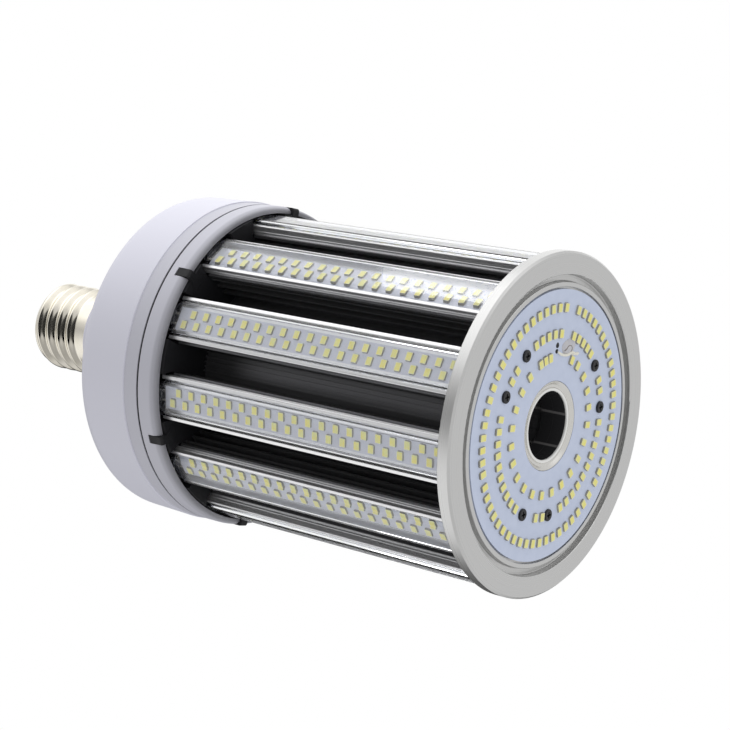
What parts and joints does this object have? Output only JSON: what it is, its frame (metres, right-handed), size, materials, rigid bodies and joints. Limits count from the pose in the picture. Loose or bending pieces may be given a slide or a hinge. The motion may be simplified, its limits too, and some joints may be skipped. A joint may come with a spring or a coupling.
{
  "type": "corn led bulb",
  "caption": "Corn-style LED lamp: light strips round a black finned heat sink, a lit round front face with a central vent, a pale driver housing and a large screw cap.",
  "frame": {"origin": "centre of the front ring's flat face, on which the lamp stands", "axes": "+Z along the lamp's axis, from the lit front face to the screw cap; +X through the middle of a light strip"},
  "size_m": [0.138, 0.138, 0.2761],
  "materials": {
    "black_anodised": "black anodised extrusion",
    "silver_aluminium": "bright drawn extrusion",
    "board_coating": "white solder mask, slightly lavender",
    "clear_cover": "clear moulded cover",
    "led_phosphor": "yellow phosphor in a pale case",
    "satin_aluminium": "turned, satin",
    "screw_steel": "zinc plated",
    "polished_aluminium": "polished",
    "clear_silicone": "milky silicone",
    "black_plastic": "moulded, fine grain",
    "green_board": "solder mask",
    "tinned_brass": "tinned",
    "housing_plastic": "moulded, satin, faintly lavender white",
    "black_rubber": "plain",
    "nickel_plate": "nickel plated, rolled",
    "black_glass": "fused black glass",
    "ferrite": "ferrite and tape",
    "copper_winding": "enamelled wire",
    "capacitor_sleeve": "shrink sleeve",
    "red_silicone": "wire insulation",
    "white_silicone": "wire insulation"
  },
  "bodies": {
    "root": {"board_leads": "red_silicone", "cap_contact": "tinned_brass", "cap_insulator": "black_glass", "cap_shell": "nickel_plate", "driver_board": "green_board", "driver_capacitors": "capacitor_sleeve", "driver_choke": "copper_winding", "driver_housing": "housing_plastic", "driver_standoffs": "tinned_brass", "driver_transformer": "ferrite", "front_board": "board_coating", "front_leds": "led_phosphor", "front_ring": "satin_aluminium", "heat_sink": "black_anodised", "housing_gasket": "black_rubber", "housing_rim": "housing_plastic", "link_board": "green_board", "mains_leads": "white_silicone", "rear_plate": "black_plastic", "sink_screws": "screw_steel", "strip_board_01": "board_coating", "strip_board_02": "board_coating", "strip_board_03": "board_coating", "strip_board_04": "board_coating", "strip_board_05": "board_coating", "strip_board_06": "board_coating", "strip_board_07": "board_coating", "strip_board_08": "board_coating", "strip_board_09": "board_coating", "strip_board_10": "board_coating", "strip_board_11": "board_coating", "strip_board_12": "board_coating", "strip_carrier_01": "silver_aluminium", "strip_carrier_02": "silver_aluminium", "strip_carrier_03": "silver_aluminium", "strip_carrier_04": "silver_aluminium", "strip_carrier_05": "silver_aluminium", "strip_carrier_06": "silver_aluminium", "strip_carrier_07": "silver_aluminium", "strip_carrier_08": "silver_aluminium", "strip_carrier_09": "silver_aluminium", "strip_carrier_10": "silver_aluminium", "strip_carrier_11": "silver_aluminium", "strip_carrier_12": "silver_aluminium", "strip_cover_01": "clear_cover", "strip_cover_02": "clear_cover", "strip_cover_03": "clear_cover", "strip_cover_04": "clear_cover", "strip_cover_05": "clear_cover", "strip_cover_06": "clear_cover", "strip_cover_07": "clear_cover", "strip_cover_08": "clear_cover", "strip_cover_09": "clear_cover", "strip_cover_10": "clear_cover", "strip_cover_11": "clear_cover", "strip_cover_12": "clear_cover", "strip_leds": "led_phosphor", "strip_pins": "tinned_brass", "vent_collar": "polished_aluminium", "wire_seal": "clear_silicone"}
  },
  "joints": []
}
